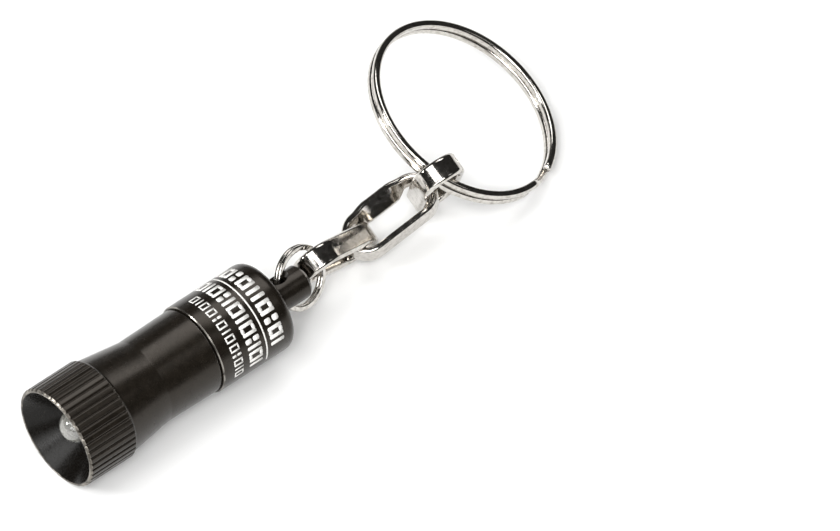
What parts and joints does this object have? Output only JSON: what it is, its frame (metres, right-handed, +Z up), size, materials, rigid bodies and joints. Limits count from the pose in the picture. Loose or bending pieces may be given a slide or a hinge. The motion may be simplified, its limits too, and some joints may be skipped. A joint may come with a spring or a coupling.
{
  "type": "keychain flashlight",
  "caption": "Pocket keychain light: twist head with fluted grip and lamp cup, round barrel of button cells, neck with split ring, strap chain and key ring.",
  "frame": {"origin": "centre of the head's front rim face", "axes": "+X back along the barrel towards the neck and chain, +Z up from the surface that the light lies on, +Y to the left when looking along +X"},
  "size_m": [0.0791, 0.0255, 0.0143],
  "materials": {
    "anodised": "satin",
    "nickel": "polished",
    "lens_clear": "gloss",
    "lead_metal": "satin",
    "phosphor": "matte",
    "holder_plastic": "matte",
    "contact_brass": "bright",
    "seal_rubber": "matte",
    "sleeve_plastic": "gloss",
    "cell_steel": "bright",
    "gasket_plastic": "matte"
  },
  "bodies": {
    "barrel": {"barrel": "anodised", "barrel_oring": "seal_rubber", "cell_sleeve": "sleeve_plastic", "tail_spring": "contact_brass", "cell_1_can": "cell_steel", "cell_1_gasket": "gasket_plastic", "cell_1_cap": "cell_steel", "cell_2_can": "cell_steel", "cell_2_gasket": "gasket_plastic", "cell_2_cap": "cell_steel", "cell_3_can": "cell_steel", "cell_3_gasket": "gasket_plastic", "cell_3_cap": "cell_steel", "cell_4_can": "cell_steel", "cell_4_gasket": "gasket_plastic", "cell_4_cap": "cell_steel"},
    "lamp_module": {"led_lens": "lens_clear", "led_anvil": "lead_metal", "led_post": "lead_metal", "led_die": "phosphor", "led_holder": "holder_plastic", "centre_contact": "contact_brass", "side_contact": "contact_brass"},
    "head": {"head": "anodised"},
    "tail_ring": {"tail_ring": "nickel"},
    "chain_link_1": {"chain_link_1": "nickel"},
    "chain_link_2": {"chain_link_2": "nickel"},
    "chain_link_3": {"chain_link_3": "nickel"},
    "key_ring": {"key_ring": "nickel"}
  },
  "joints": [
    {"name": "head_thread", "type": "slide", "parent": "barrel", "child": "lamp_module", "axis": [-1, 0, 0], "range_m": [0, 0.00075]},
    {"name": "head_twist", "type": "hinge", "parent": "lamp_module", "child": "head", "pos_m": [0.0175, 0, 0], "axis": [-1, 0, 0], "range_deg": [0, 360]},
    {"name": "tail_ring_swing", "type": "hinge", "parent": "barrel", "child": "tail_ring", "pos_m": [0.03395, 0, 0], "axis": [0, 0.4384, 0.8988], "range_deg": [-35, 35]},
    {"name": "link_1_swing", "type": "hinge", "parent": "tail_ring", "child": "chain_link_1", "pos_m": [0.04046, 0.00109, -0.00032], "axis": [0.0109, 0.9064, 0.4223], "range_deg": [-30, 30]},
    {"name": "link_2_swing", "type": "hinge", "parent": "chain_link_1", "child": "chain_link_2", "pos_m": [0.04861, 0.00212, -0.00269], "axis": [-0.2468, -0.2041, 0.9473], "range_deg": [-30, 30]},
    {"name": "link_3_swing", "type": "hinge", "parent": "chain_link_2", "child": "chain_link_3", "pos_m": [0.05539, 0.00171, -0.00101], "axis": [-0.2468, -0.2041, 0.9473], "range_deg": [-30, 30]},
    {"name": "key_ring_turn", "type": "hinge", "parent": "chain_link_3", "child": "key_ring", "pos_m": [0.06733, 0.00707, 0.00069], "axis": [0.379, -0.337, 0.8619], "continuous": true}
  ],
  "couplings": [
    {"joint": "head_thread", "follows": "head_twist", "m_per_rad": 0.0001193}
  ]
}
